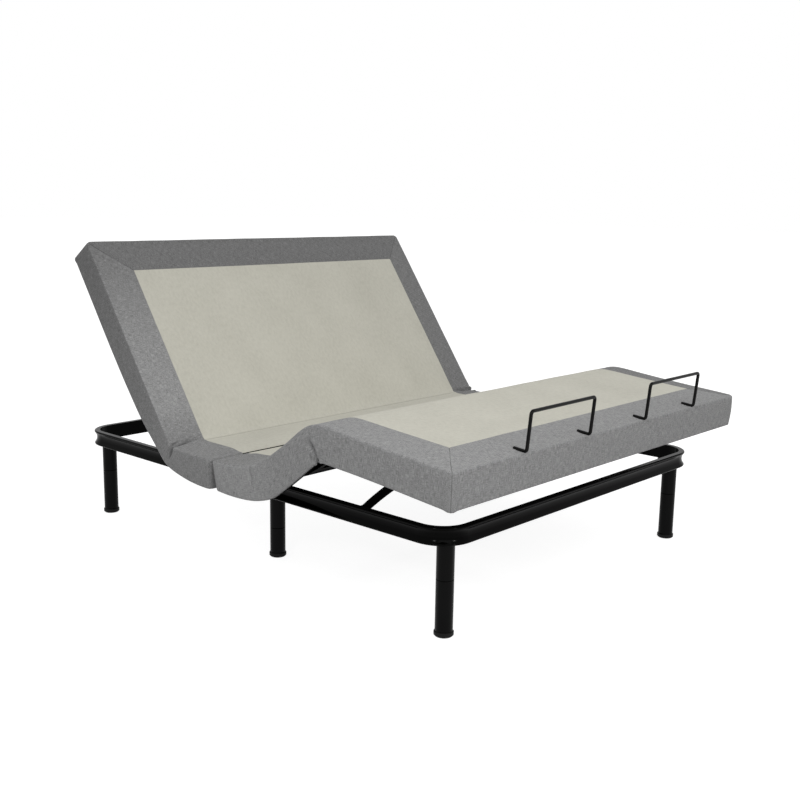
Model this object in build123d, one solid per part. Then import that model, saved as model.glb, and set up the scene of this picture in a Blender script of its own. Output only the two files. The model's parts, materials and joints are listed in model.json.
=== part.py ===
from build123d import *
import os
from math import cos, radians, sin, tan

# Adjustable bed base, queen size, with its back raised and its knees bent.
# Frame: X across the bed, +Y towards the head, +Z up, floor at Z = 0, millimetres.
# Every section is drawn lying flat and then turned about its hinge into the raised pose.

# Deck
DECK_HALF_WIDTH = 762.0
BACK_LENGTH = 782.0
THIGH_LENGTH = 335.0
FOOT_LENGTH = 465.0
BACK_HINGE_Y = 214.0
THIGH_HINGE_Y = -210.0
KNEE_Y = THIGH_HINGE_Y - THIGH_LENGTH
HINGE_Z = 355.0
BACK_ANGLE = 54.6
THIGH_ANGLE = 32.0
KNEE_ANGLE = 37.4
BACK_TRAVEL = 60.0
THIGH_TRAVEL = 40.0

# Heights in a section, measured from the hinge line
PAD_TOP = 14.0
PAD_CROWN = 8.0
BOARD_TOP = -6.0
BOARD_LOW = -18.0
DECK_TUBE_LOW = -34.0
SKIRT_LOW = -81.0

# Upholstery and boards
SKIRT_THICK = 22.0
BOARD_HALF_WIDTH = DECK_HALF_WIDTH - SKIRT_THICK - 2.0
PAD_ROLL = 18.0
PAD_DRAW = 4.0
PAD_HINGE_GAP = 13.0
SKIRT_HINGE_GAP = 8.0
SPLIT_GAP = 2.0
KNEE_MITRE_LOW = 40.0
HINGE_GAP = 14.0
KNEE_GAP = 26.0
PAD_KNEE_GAP = 18.0
PAD_END_CROWN = 6.0
BOARD_CORNER = 12.0
BOARD_END_GAP = 2.0
HEM_ROUND = 6.0

# Rolled ends of a pad: distance from the end, inset of the sides, drop of the top
PAD_ROLLED_END = ((0.0, 9.0, 9.0), (5.0, 3.0, 3.0), (14.0, 0.0, 0.0))

# Base frame
RAIL_HALF_WIDTH = 675.0
RAIL_HALF_LENGTH = 863.5
RAIL_HEIGHT = 51.0
RAIL_DEPTH = 19.5
RAIL_CORNER = 100.0
RAIL_LIP = 4.0
RAIL_HOLLOW = 8.0
SEAT_TUBE_HEIGHT = 20.0
SEAT_TUBE_WIDTH = 40.0
RAIL_TOP = HINGE_Z + BOARD_LOW - SEAT_TUBE_HEIGHT
RAIL_LOW = RAIL_TOP - RAIL_HEIGHT
RAIL_INNER_X = RAIL_HALF_WIDTH - RAIL_DEPTH
RAIL_INNER_Y = RAIL_HALF_LENGTH - RAIL_DEPTH
HALF_JOINT_GAP = 0.5
TUBE_WALL = 2.0
PLATE = 6.0
SEAT_TUBE_SHORT = 8.0
BOLT_X = 570.0
BOLT_RADIUS = 5.0
BOLT_HOLE = 6.0
BOLT_HEAD_RADIUS = 9.0
BOLT_HEAD_HEIGHT = 7.0
JOINT_PLATE_HALF = 46.0
GUSSET_ARM = 97.0
GUSSET_LIP = 28.0
BUMPER_X = 300.0
BUMPER_RADIUS = 7.0
BUMPER_GAP = 0.4
SPACER_X = (280.0, 330.0)
SPACER_Y = (6.0, 36.0)

# Legs
LEG_RADIUS = 25.0
LEG_WALL = 2.5
LEG_END = 5.0
LEG_BEVEL = 1.2
CORNER_LEG_X = 606.0
CORNER_LEG_Y = 807.0
MID_LEG_X = 495.0
SHORT_SEGMENT = 105.0
CAP_RADIUS = 27.7
CAP_HEIGHT = 15.0
CAP_LOW_BEVEL = 4.0
CAP_TOP_BEVEL = 2.0

# Hinges and links
SIDE_TUBE_X0 = 568.0
SIDE_TUBE_X1 = 588.0
CROSS_TUBE_WIDTH = 40.0
BACK_TUBE_SHORT = 100.0
BACK_CROSS_FROM_END = 280.0
FOOT_TUBE_SHORT = 30.0
FOOT_CROSS_FROM_END = 140.0
LUG_GAP = 1.0
LUG_RADIUS = 9.0
PIN_RADIUS = 5.0
PIN_PROUD = 3.0
RUN_CLEARANCE = 0.06
LINK_THICK = 6.0
LINK_X0 = SIDE_TUBE_X1 + PLATE + 2.0
LINK_X1 = LINK_X0 + LINK_THICK
LINK_BASE_Y = -493.0
LINK_BASE_Z = 284.0
LINK_FOOT_REACH = 240.0
LINK_FOOT_DROP = -52.0
LINK_HALF_WIDTH = 12.0
LINK_BOW = 8.0
LINK_EYE_PLAY = 4.0
LINK_BASE_RIM = 2.0
LINK_TIP_RIM = 6.0
LINK_SIDE_PLAY = 1.0
LINK_POST_RADIUS = 11.0
LINK_PIN_PROUD = 4.0
BRACKET_HALF_WELD = 30.0
BRACKET_PIN_PROUD = 2.0

# Drives
DRIVE_X = 70.0
DRIVE_DROP = 112.0
DRIVE_Z = HINGE_Z - DRIVE_DROP
LEVER_SLOT_PLAY = 3.5
LEVER_SLOT_NEAR = 108.0
LEVER_SLOT_FAR = 132.0
LEVER_END = 16.0
LEVER_INSIDE = 15.0
LEVER_WELD = 22.0
ROD_RADIUS = 10.0
ROD_PIN_RADIUS = 6.0
ROD_PIN_PROUD = 4.0
ROD_EYE_RADIUS = 15.0
ROD_EYE_PLAY = 1.0
HEAD_ROD_LENGTH = 210.0
FOOT_ROD_LENGTH = 190.0
SLEEVE_RADIUS = 17.0
SLEEVE_CLEARANCE = 0.4
SLEEVE_STOP = 8.0
SLEEVE_SETBACK = 34.0
COLLAR_LENGTH = 14.0
COLLAR_RAISE = 2.0
GEARBOX_START = 26.0
GEARBOX_LENGTH = 80.0
GEARBOX_HALF_WIDTH = 32.0
GEARBOX_HALF_HEIGHT = 36.0
GEARBOX_CORNER = 14.0
GEARBOX_SINK = 3.0
NECK_HALF_WIDTH = 17.5
NECK_HALF_HEIGHT = 13.0
MOTOR_RADIUS = 29.0
MOTOR_LENGTH = 92.0
MOTOR_BEVEL = 7.0
ANCHOR_EYE_RADIUS = 14.0
ANCHOR_HALF_WELD = 22.0
ANCHOR_END = 18.0
ANCHOR_INSIDE = 18.0
ANCHOR_PIN_REACH = 28.0

# Control box and its inlet
CONTROL_X0 = 300.0
CONTROL_X1 = 480.0
CONTROL_Y0 = 58.0
CONTROL_Y1 = 148.0
CONTROL_HEIGHT = 44.0
CONTROL_CORNER = 8.0
CONTROL_BEVEL = 4.0
INLET_DEPTH = 14.0
INLET_FLOOR = 3.0
INLET_PROUD = 2.0
INLET_HALF_WIDTH = 15.0
INLET_HALF_HEIGHT = 10.0
WELL_WIDTH = 22.0
WELL_HEIGHT = 13.0
CONTACT_RADIUS = 1.4
CONTACT_OFFSET = 4.5
CONTACT_LENGTH = 9.0

# Mattress retainer bars
BAR_RADIUS = 5.0
BAR_INNER_X = 155.0
BAR_OUTER_X = 460.0
BAR_RAISE = 3.0
BAR_HEIGHT = 111.0
BAR_CORNER = 9.0
BAR_FOOT = 42.0
BAR_END_GAP = 6.0


def block(x0, x1, y0, y1, z0, z1):
    """A box between two opposite corners."""
    middle = Pos((x0 + x1) / 2, (y0 + y1) / 2, (z0 + z1) / 2)
    return middle * Box(abs(x1 - x0), abs(y1 - y0), abs(z1 - z0))


def pair(shape):
    """A piece and its mirror image on the other side of the bed."""
    return [shape, mirror(shape, about=Plane.YZ)]


def cross_tube(half_length, y0, y1, z0, z1):
    """A rectangular tube that lies across the bed."""
    wall = TUBE_WALL
    outer = block(-half_length, half_length, y0, y1, z0, z1)
    return outer - block(-half_length, half_length, y0 + wall, y1 - wall, z0 + wall, z1 - wall)


def long_tube(x0, x1, y0, y1, z0, z1):
    """A rectangular tube that lies along the bed."""
    wall = TUBE_WALL
    return block(x0, x1, y0, y1, z0, z1) - block(x0 + wall, x1 - wall, y0, y1, z0 + wall, z1 - wall)


def side_plate(sketch, x0, x1):
    """A flat plate from an outline in the Y-Z plane, between two distances across the bed."""
    return extrude(Plane.YZ.offset(x0) * sketch, x1 - x0)


def pin_across(x0, x1, y, z, radius):
    """A round pin that lies across the bed."""
    return Pos((x0 + x1) / 2, y, z) * Rot(0, 90, 0) * Cylinder(radius, x1 - x0)


def rod_along(x, y0, y1, z, radius):
    """A round bar that lies along the bed."""
    return Pos(x, (y0 + y1) / 2, z) * Rot(90, 0, 0) * Cylinder(radius, abs(y1 - y0))


# Base frame pieces


def rail_profile():
    """Rolled rail section: a round lip above and below, a hollow that runs into both, a flat inner face."""
    high = RAIL_HEIGHT
    middle = high / 2
    lip = RAIL_LIP
    rise = middle - lip
    inset = RAIL_HOLLOW - lip
    hollow = (rise**2 + inset**2 - lip**2) / (2 * RAIL_HOLLOW)
    neck_x = lip * (hollow - inset) / (hollow + lip) - lip
    neck_z = lip * rise / (hollow + lip) + lip
    outline = [
        Line((-RAIL_DEPTH, 0), (-lip, 0)),
        ThreePointArc((-lip, 0), (0, lip), (neck_x, neck_z)),
        ThreePointArc((neck_x, neck_z), (-RAIL_HOLLOW, middle), (neck_x, high - neck_z)),
        ThreePointArc((neck_x, high - neck_z), (0, high - lip), (-lip, high)),
        Line((-lip, high), (-RAIL_DEPTH, high)),
        Line((-RAIL_DEPTH, high), (-RAIL_DEPTH, 0)),
    ]
    bore_width = RAIL_DEPTH - RAIL_HOLLOW - 2 * TUBE_WALL
    bore = Pos(-RAIL_DEPTH + TUBE_WALL + bore_width / 2, middle) * Rectangle(
        bore_width, RAIL_HEIGHT - 2 * TUBE_WALL
    )
    return make_face(outline) - bore


def half_rail():
    """The head half of the rail: a U with round corners, open towards the middle of the bed."""
    x = RAIL_HALF_WIDTH
    y = RAIL_HALF_LENGTH
    z = RAIL_LOW
    corners = [(-x, HALF_JOINT_GAP, z), (-x, y, z), (x, y, z), (x, HALF_JOINT_GAP, z)]
    path = FilletPolyline(*corners, radius=RAIL_CORNER)
    start = Plane(origin=corners[0], x_dir=(-1, 0, 0), z_dir=(0, 1, 0))
    return sweep(start * rail_profile(), path)


def centre_tube():
    """Cross tube of the head half, bolted to its twin at the middle of the bed."""
    y0 = HALF_JOINT_GAP
    y1 = y0 + SEAT_TUBE_WIDTH
    tube = cross_tube(RAIL_INNER_X, y0, y1, RAIL_LOW, RAIL_TOP)
    for x in (-BOLT_X, BOLT_X):
        tube -= rod_along(x, y0, y1, RAIL_LOW + RAIL_HEIGHT / 2, BOLT_HOLE)
    return tube


def joint_bolt(x):
    """A bolt with its head and nut through both centre tubes."""
    grip = HALF_JOINT_GAP + SEAT_TUBE_WIDTH
    z = RAIL_LOW + RAIL_HEIGHT / 2
    end = grip + BOLT_HEAD_HEIGHT
    bolt = rod_along(x, -end, end, z, BOLT_RADIUS)
    hexagon = extrude(RegularPolygon(BOLT_HEAD_RADIUS, 6), BOLT_HEAD_HEIGHT)
    for y in (-grip, end):
        bolt += Pos(x, y, z) * Rot(90, 0, 0) * hexagon
    return bolt


def joint_plate(x):
    """Plate under the two centre tubes, which takes a middle leg."""
    half = JOINT_PLATE_HALF
    return block(x - half, x + half, -half, half, RAIL_LOW - PLATE, RAIL_LOW)


def corner_plate():
    """Gusset plate in a rail corner, which takes a corner leg."""
    x1 = RAIL_INNER_X
    y1 = RAIL_INNER_Y
    radius = RAIL_CORNER - RAIL_DEPTH
    arm = GUSSET_ARM
    lip = GUSSET_LIP
    middle = radius * (1 - cos(radians(45)))
    outline = [
        Line((x1, y1 - arm), (x1, y1 - radius)),
        ThreePointArc((x1, y1 - radius), (x1 - middle, y1 - middle), (x1 - radius, y1)),
        Line((x1 - radius, y1), (x1 - arm, y1)),
        Line((x1 - arm, y1), (x1 - arm, y1 - lip)),
        Line((x1 - arm, y1 - lip), (x1 - lip, y1 - arm)),
        Line((x1 - lip, y1 - arm), (x1, y1 - arm)),
    ]
    return extrude(Pos(0, 0, RAIL_LOW) * make_face(outline), PLATE)


def leg_segment(low, high):
    """One leg tube, closed at both ends, with bevelled rims."""
    height = high - low
    tube = Cylinder(LEG_RADIUS, height)
    tube = chamfer(tube.edges().filter_by(GeomType.CIRCLE), LEG_BEVEL)
    tube -= Cylinder(LEG_RADIUS - LEG_WALL, height - 2 * LEG_END)
    return Pos(0, 0, (low + high) / 2) * tube


def leg(x, y, top, seam):
    """A leg of two segments that are screwed together."""
    return [Pos(x, y, 0) * leg_segment(CAP_HEIGHT, seam), Pos(x, y, 0) * leg_segment(seam, top)]


def foot_cap(x, y):
    """Moulded glide under a leg, a little wider than the leg, with bevelled edges."""
    cap = Pos(x, y, CAP_HEIGHT / 2) * Cylinder(CAP_RADIUS, CAP_HEIGHT)
    rims = cap.edges().filter_by(GeomType.CIRCLE).sort_by(Axis.Z)
    cap = chamfer(rims[0], CAP_LOW_BEVEL)
    rims = cap.edges().filter_by(GeomType.CIRCLE).sort_by(Axis.Z)
    return chamfer(rims[-1], CAP_TOP_BEVEL)


def bumper():
    """Rubber stop on the head rail, just under the back board that comes down on it."""
    height = HINGE_Z + BOARD_LOW - BUMPER_GAP - RAIL_TOP
    y = RAIL_HALF_LENGTH - (RAIL_DEPTH + RAIL_LIP) / 2
    return Pos(BUMPER_X, y, RAIL_TOP + height / 2) * Cylinder(BUMPER_RADIUS, height)


# Deck pieces, drawn flat. "toward" is +1 for a section on the head side of its hinge, -1 on the foot side.


def pad_slice(y, inset, drop, crown):
    """An upright slice across a pad: flat below, rolled sides and a crowned top."""
    half = DECK_HALF_WIDTH - inset
    low = BOARD_TOP
    high = PAD_TOP - drop
    roll = min(PAD_ROLL, high - low)
    knee_x = half - roll * (1 - cos(radians(45)))
    knee_z = high - roll * (1 - sin(radians(45)))
    flat = half - roll
    outline = [
        Line((-half, low), (half, low)),
        ThreePointArc((half, low), (knee_x, knee_z), (flat, high)),
        ThreePointArc((flat, high), (0, high + crown), (-flat, high)),
        ThreePointArc((-flat, high), (-knee_x, knee_z), (-half, low)),
    ]
    upright = Plane(origin=(0, y, HINGE_Z), x_dir=(1, 0, 0), z_dir=(0, -1, 0))
    return upright * make_face(outline)


def pad(y0, y1):
    """Upholstered pad of one section: rolled ends, a crown, and sides drawn in between the corners."""
    slices = [pad_slice(y0 + step, inset, drop, PAD_END_CROWN) for step, inset, drop in PAD_ROLLED_END]
    for share in (0.25, 0.5, 0.75):
        swell = 4 * share * (1 - share)
        slices.append(pad_slice(y0 + (y1 - y0) * share, PAD_DRAW * swell, 0.0, PAD_CROWN * swell))
    for step, inset, drop in reversed(PAD_ROLLED_END):
        slices.append(pad_slice(y1 - step, inset, drop, PAD_END_CROWN))
    return loft(slices, ruled=True)


def deck_board(y0, y1):
    """Plywood board of one section, with round corners."""
    outline = RectangleRounded(2 * BOARD_HALF_WIDTH, abs(y1 - y0), BOARD_CORNER)
    place = Pos(0, (y0 + y1) / 2, HINGE_Z + BOARD_LOW)
    return extrude(place * outline, BOARD_TOP - BOARD_LOW)


def side_skirt(y0, y1, low0=0.0, low1=0.0):
    """Upholstered side board. low0 and low1 draw its lower corners in, for a mitred end."""
    top = HINGE_Z + BOARD_TOP
    low = HINGE_Z + SKIRT_LOW
    outline = make_face(Polyline((y0, top), (y1, top), (y1 - low1, low), (y0 + low0, low), close=True))
    skirt = side_plate(outline, DECK_HALF_WIDTH - SKIRT_THICK, DECK_HALF_WIDTH)
    hem = skirt.edges().filter_by(Axis.Y).group_by(Axis.Z)[0]
    return fillet(hem, HEM_ROUND)


def end_skirt(y_out, toward):
    """Upholstered board across the free end of the back or foot section."""
    y_in = y_out - toward * SKIRT_THICK
    half = DECK_HALF_WIDTH - SKIRT_THICK
    skirt = block(-half, half, y_in, y_out, HINGE_Z + SKIRT_LOW, HINGE_Z + BOARD_TOP)
    hem = skirt.edges().filter_by(Axis.X).group_by(Axis.Z)[0]
    return fillet(hem, HEM_ROUND)


def hinge_lug(axis_y, face_y, low, high, x0, x1, bore):
    """Plate that reaches from a tube's end face up to a hinge line."""
    eye = Pos(axis_y, HINGE_Z) * Circle(LUG_RADIUS)
    foot = Line((face_y, HINGE_Z + low), (face_y, HINGE_Z + high))
    outline = make_hull(eye.edges() + [foot])
    return side_plate(outline - Pos(axis_y, HINGE_Z) * Circle(bore), x0, x1)


def seat_tube(axis_y, toward):
    """Tube across both rails at the seat's edge, with the fixed lugs of a deck hinge."""
    face = axis_y - toward * HINGE_GAP
    back = face - toward * SEAT_TUBE_WIDTH
    half = RAIL_HALF_WIDTH - SEAT_TUBE_SHORT
    tube = cross_tube(half, min(face, back), max(face, back), RAIL_TOP, HINGE_Z + BOARD_LOW)
    x0 = SIDE_TUBE_X1 + LUG_GAP
    lug = hinge_lug(axis_y, face, BOARD_LOW - SEAT_TUBE_HEIGHT, BOARD_LOW, x0, x0 + PLATE, PIN_RADIUS)
    for side in pair(lug):
        tube += side
    return tube


def hinge_pin(axis_y):
    """Pin through a fixed lug and the moving lug beside it."""
    x0 = SIDE_TUBE_X1 - PLATE - PIN_PROUD
    x1 = SIDE_TUBE_X1 + LUG_GAP + PLATE + PIN_PROUD
    return pin_across(x0, x1, axis_y, HINGE_Z, PIN_RADIUS)


def side_tube(y0, y1):
    """Plain tube under a deck board, on the right side."""
    low = HINGE_Z + DECK_TUBE_LOW
    return long_tube(SIDE_TUBE_X0, SIDE_TUBE_X1, min(y0, y1), max(y0, y1), low, HINGE_Z + BOARD_LOW)


def moving_lug(axis_y, face_y, x0=SIDE_TUBE_X1 - PLATE, bore=PIN_RADIUS + RUN_CLEARANCE):
    """Lug on the end of a deck tube."""
    return hinge_lug(axis_y, face_y, DECK_TUBE_LOW, BOARD_LOW, x0, x0 + PLATE, bore)


def deck_cross_tube(y0):
    """Tube across a section, between its two side tubes. y0 is its side nearer the foot."""
    low = HINGE_Z + DECK_TUBE_LOW
    return cross_tube(SIDE_TUBE_X0, y0, y0 + CROSS_TUBE_WIDTH, low, HINGE_Z + BOARD_LOW)


# Drives. Each lever hangs below its hinge and leans half its travel to either side of upright.


def lever_plate(axis_y, toward, travel, x0):
    """One plate of a lever: from the cross tube down to a slot that a rod pin runs in."""
    lean = radians(travel / 2)
    reaches = (LEVER_SLOT_NEAR, LEVER_SLOT_FAR)
    ends = [(axis_y - toward * r * sin(lean), HINGE_Z - r * cos(lean)) for r in reaches]
    top = HINGE_Z + DECK_TUBE_LOW
    weld_y = axis_y + toward * LEVER_WELD
    weld = Line((weld_y, top), (weld_y + toward * CROSS_TUBE_WIDTH, top))
    rounds = [Pos(*end) * Circle(LEVER_END) for end in ends]
    outline = make_hull(rounds[0].edges() + rounds[1].edges() + [weld])
    slot_half = ROD_PIN_RADIUS + LEVER_SLOT_PLAY
    slot = make_hull([edge for end in ends for edge in (Pos(*end) * Circle(slot_half)).edges()])
    return side_plate(outline - slot, x0, x0 + PLATE)


def lever(x, axis_y, toward, travel):
    """The two plates of a lever, one each side of the rod eye."""
    starts = (x - LEVER_INSIDE - PLATE, x + LEVER_INSIDE)
    return [lever_plate(axis_y, toward, travel, start) for start in starts]


def drive_pin_y(axis_y, toward, travel, angle):
    """Where the rod pin stands along the bed at a given angle of its section."""
    return axis_y + toward * DRIVE_DROP * tan(radians(angle - travel / 2))


def gearbox(x, anchor_y, toward, outward):
    """Motor and gearbox of a drive, with the eye that hangs on its anchor."""
    y0 = anchor_y + toward * GEARBOX_START
    y1 = y0 + toward * GEARBOX_LENGTH
    half = GEARBOX_HALF_WIDTH
    z0 = DRIVE_Z - GEARBOX_HALF_HEIGHT
    case = block(x - half, x + half, y0, y1, z0, DRIVE_Z + GEARBOX_HALF_HEIGHT)
    case = fillet(case.edges().filter_by(Axis.Y), GEARBOX_CORNER)
    neck_x = (x - NECK_HALF_WIDTH, x + NECK_HALF_WIDTH)
    neck_z = (DRIVE_Z - NECK_HALF_HEIGHT, DRIVE_Z + NECK_HALF_HEIGHT)
    neck = block(*neck_x, anchor_y, y0 + toward * GEARBOX_SINK, *neck_z)
    eye = pin_across(*neck_x, anchor_y, DRIVE_Z, ANCHOR_EYE_RADIUS)
    side = x + outward * (half - GEARBOX_SINK)
    end = side + outward * MOTOR_LENGTH
    motor_y = (y0 + y1) / 2
    motor = pin_across(min(side, end), max(side, end), motor_y, DRIVE_Z, MOTOR_RADIUS)
    rim = motor.edges().filter_by(GeomType.CIRCLE).sort_by(Axis.X)[-1 if outward > 0 else 0]
    motor = chamfer(rim, MOTOR_BEVEL)
    body = case + neck + eye + motor
    return body - pin_across(*neck_x, anchor_y, DRIVE_Z, ROD_PIN_RADIUS + RUN_CLEARANCE)


def sleeve(x, start_y, end_y, toward):
    """Outer tube of a drive, open at the end where the rod comes out."""
    bore = ROD_RADIUS + SLEEVE_CLEARANCE
    tube = rod_along(x, start_y, end_y, DRIVE_Z, SLEEVE_RADIUS)
    tube += rod_along(x, end_y - toward * COLLAR_LENGTH, end_y, DRIVE_Z, SLEEVE_RADIUS + COLLAR_RAISE)
    return tube - rod_along(x, start_y + toward * SLEEVE_STOP, end_y, DRIVE_Z, bore)


def drive_rod(x, pin_y, length, toward):
    """Sliding rod with its eye, and the pin through the eye."""
    half = LEVER_INSIDE - ROD_EYE_PLAY
    rod = rod_along(x, pin_y - toward * length, pin_y, DRIVE_Z, ROD_RADIUS)
    rod += pin_across(x - half, x + half, pin_y, DRIVE_Z, ROD_EYE_RADIUS)
    rod -= pin_across(x - half, x + half, pin_y, DRIVE_Z, ROD_PIN_RADIUS)
    reach = LEVER_INSIDE + PLATE + ROD_PIN_PROUD
    return [rod, pin_across(x - reach, x + reach, pin_y, DRIVE_Z, ROD_PIN_RADIUS)]


def anchor(x, anchor_y):
    """Fork under a seat tube that holds the fixed end of a drive."""
    centre = Pos(anchor_y, DRIVE_Z)
    weld = Line((anchor_y - ANCHOR_HALF_WELD, RAIL_TOP), (anchor_y + ANCHOR_HALF_WELD, RAIL_TOP))
    outline = make_hull((centre * Circle(ANCHOR_END)).edges() + [weld])
    outline -= centre * Circle(ROD_PIN_RADIUS)
    starts = (x - ANCHOR_INSIDE - PLATE, x + ANCHOR_INSIDE)
    return [side_plate(outline, start, start + PLATE) for start in starts]


def anchor_pin(x, anchor_y):
    """Pin through an anchor fork and the gearbox eye in it."""
    return pin_across(x - ANCHOR_PIN_REACH, x + ANCHOR_PIN_REACH, anchor_y, DRIVE_Z, ROD_PIN_RADIUS)


# Foot links, drawn in the raised pose


def foot_link_point():
    """The link's upper pivot on the foot section, at rest, as (y, z)."""
    thigh = radians(THIGH_ANGLE)
    foot = radians(KNEE_ANGLE - THIGH_ANGLE)
    knee_y = THIGH_HINGE_Y - THIGH_LENGTH * cos(thigh)
    knee_z = HINGE_Z + THIGH_LENGTH * sin(thigh)
    y = knee_y - LINK_FOOT_REACH * cos(foot) - LINK_FOOT_DROP * sin(foot)
    z = knee_z - LINK_FOOT_REACH * sin(foot) + LINK_FOOT_DROP * cos(foot)
    return y, z


def link_arm():
    """Slightly bowed flat bar from the rail up to the foot section, with an eye at each end."""
    base = Vector(LINK_BASE_Y, LINK_BASE_Z)
    tip = Vector(*foot_link_point())
    along = (tip - base).normalized()
    up = Vector(-along.Y, along.X) * (-1 if along.X < 0 else 1)
    middle = (base + tip) * 0.5 + up * LINK_BOW
    half = LINK_HALF_WIDTH
    bar = make_face([
        ThreePointArc(base + up * half, middle + up * half, tip + up * half),
        Line(tip + up * half, tip - up * half),
        ThreePointArc(tip - up * half, middle - up * half, base - up * half),
        Line(base - up * half, base + up * half),
    ])
    eye = half + LINK_BASE_RIM
    tip_eye = PIN_RADIUS + LINK_EYE_PLAY + LINK_TIP_RIM
    outline = bar + Pos(base.X, base.Y) * Circle(eye) + Pos(tip.X, tip.Y) * Circle(tip_eye)
    outline -= Pos(base.X, base.Y) * Circle(PIN_RADIUS + RUN_CLEARANCE)
    outline -= Pos(tip.X, tip.Y) * Circle(PIN_RADIUS + LINK_EYE_PLAY)
    return side_plate(outline, LINK_X0, LINK_X1)


def link_post():
    """Post on the rail's inner face that the link turns on."""
    start = LINK_X1 + LINK_SIDE_PLAY
    post = pin_across(start, RAIL_INNER_X, LINK_BASE_Y, LINK_BASE_Z, LINK_POST_RADIUS)
    return post + pin_across(LINK_X0 - LINK_PIN_PROUD, start, LINK_BASE_Y, LINK_BASE_Z, PIN_RADIUS)


def link_bracket():
    """Plate on the foot section's side tube, with the pin that the link's eye goes round. Drawn flat."""
    y = KNEE_Y - LINK_FOOT_REACH
    z = HINGE_Z + LINK_FOOT_DROP
    top = HINGE_Z + BOARD_LOW
    weld = Line((y - BRACKET_HALF_WELD, top), (y + BRACKET_HALF_WELD, top))
    outline = make_hull((Pos(y, z) * Circle(LUG_RADIUS)).edges() + [weld])
    plate = side_plate(outline, SIDE_TUBE_X1, SIDE_TUBE_X1 + PLATE)
    return plate + pin_across(SIDE_TUBE_X1 + PLATE, LINK_X1 + BRACKET_PIN_PROUD, y, z, PIN_RADIUS)


# Retainer bar, drawn flat


def retainer_bar():
    """Bent rod that keeps the mattress from sliding, on the right half of the foot edge."""
    y = KNEE_Y - FOOT_LENGTH + BAR_END_GAP
    low = HINGE_Z + PAD_TOP + BAR_RAISE + BAR_RADIUS
    high = low + BAR_HEIGHT
    foot = y + BAR_FOOT
    places = [
        (BAR_INNER_X, foot, low),
        (BAR_INNER_X, y, low),
        (BAR_INNER_X, y, high),
        (BAR_OUTER_X, y, high),
        (BAR_OUTER_X, y, low),
        (BAR_OUTER_X, foot, low),
    ]
    path = FilletPolyline(*places, radius=BAR_CORNER)
    start = Plane(origin=places[0], x_dir=(1, 0, 0), z_dir=(0, -1, 0))
    return sweep(start * Circle(BAR_RADIUS), path)


# Electrics


def control_box():
    """Control box hung under the seat board, with a recess for its inlet."""
    top = HINGE_Z + BOARD_LOW
    box = block(CONTROL_X0, CONTROL_X1, CONTROL_Y0, CONTROL_Y1, top - CONTROL_HEIGHT, top)
    box = fillet(box.edges().filter_by(Axis.Z), CONTROL_CORNER)
    lower = box.edges().group_by(Axis.Z)[0]
    return chamfer(lower, CONTROL_BEVEL) - inlet_block(CONTROL_X1)


def inlet_block(face_x):
    """The inlet's outer block, from the bottom of its recess in the control box out to a face."""
    y = (CONTROL_Y0 + CONTROL_Y1) / 2
    z = HINGE_Z + BOARD_LOW - CONTROL_HEIGHT / 2
    wide = (y - INLET_HALF_WIDTH, y + INLET_HALF_WIDTH)
    return block(CONTROL_X1 - INLET_DEPTH, face_x, *wide, z - INLET_HALF_HEIGHT, z + INLET_HALF_HEIGHT)


def power_inlet():
    """Mains inlet socket: a well with two contact pins on its floor."""
    y = (CONTROL_Y0 + CONTROL_Y1) / 2
    z = HINGE_Z + BOARD_LOW - CONTROL_HEIGHT / 2
    floor_x = CONTROL_X1 - INLET_DEPTH + INLET_FLOOR
    depth = CONTROL_X1 + INLET_PROUD - floor_x
    well = extrude(SlotOverall(WELL_WIDTH, WELL_HEIGHT, rotation=90), depth)
    well = Pos(floor_x, y, z) * Rot(0, 90, 0) * well
    socket = inlet_block(CONTROL_X1 + INLET_PROUD) - well
    for step in (-CONTACT_OFFSET, CONTACT_OFFSET):
        socket += pin_across(floor_x, floor_x + CONTACT_LENGTH, y + step, z, CONTACT_RADIUS)
    return socket


# Poses


def turned(shapes, y, angle):
    """Shapes turned about a hinge line that crosses the bed."""
    move = Pos(0, y, HINGE_Z) * Rot(angle, 0, 0) * Pos(0, -y, -HINGE_Z)
    return [move * shape for shape in shapes]


def as_back(*shapes):
    """Flat shapes of the back section, raised."""
    return turned(shapes, BACK_HINGE_Y, BACK_ANGLE)


def as_thigh(*shapes):
    """Flat shapes of the thigh section, raised."""
    return turned(shapes, THIGH_HINGE_Y, -THIGH_ANGLE)


def as_foot(*shapes):
    """Flat shapes of the foot section, carried by the raised thighs."""
    return as_thigh(*turned(shapes, KNEE_Y, KNEE_ANGLE))


def base_nodes():
    """Rails, legs and cross tubes."""
    head_rail = half_rail()
    tube = centre_tube()
    gusset = corner_plate()
    gussets = pair(gusset) + pair(mirror(gusset, about=Plane.XZ))
    corner = (RAIL_LOW, RAIL_LOW - SHORT_SEGMENT)
    middle = (RAIL_LOW - PLATE, SHORT_SEGMENT - PLATE)
    nodes = {
        "head_half_rail": [head_rail],
        "foot_half_rail": [mirror(head_rail, about=Plane.XZ)],
        "centre_tubes": [tube, mirror(tube, about=Plane.XZ)],
        "centre_joint_plates": [joint_plate(x) for x in (-MID_LEG_X, MID_LEG_X)],
        "joint_bolts": [joint_bolt(x) for x in (-BOLT_X, BOLT_X)],
        "corner_leg_plates": gussets,
        "rail_bumpers": pair(bumper()),
    }
    places = {
        "head": (CORNER_LEG_X, CORNER_LEG_Y, corner),
        "middle": (MID_LEG_X, 0.0, middle),
        "foot": (CORNER_LEG_X, -CORNER_LEG_Y, corner),
    }
    caps = []
    for row, (x, y, heights) in places.items():
        for side, sign in (("left", -1), ("right", 1)):
            nodes["leg_" + row + "_" + side] = leg(sign * x, y, *heights)
            caps.append(foot_cap(sign * x, y))
    nodes["foot_caps"] = caps
    return nodes


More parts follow.
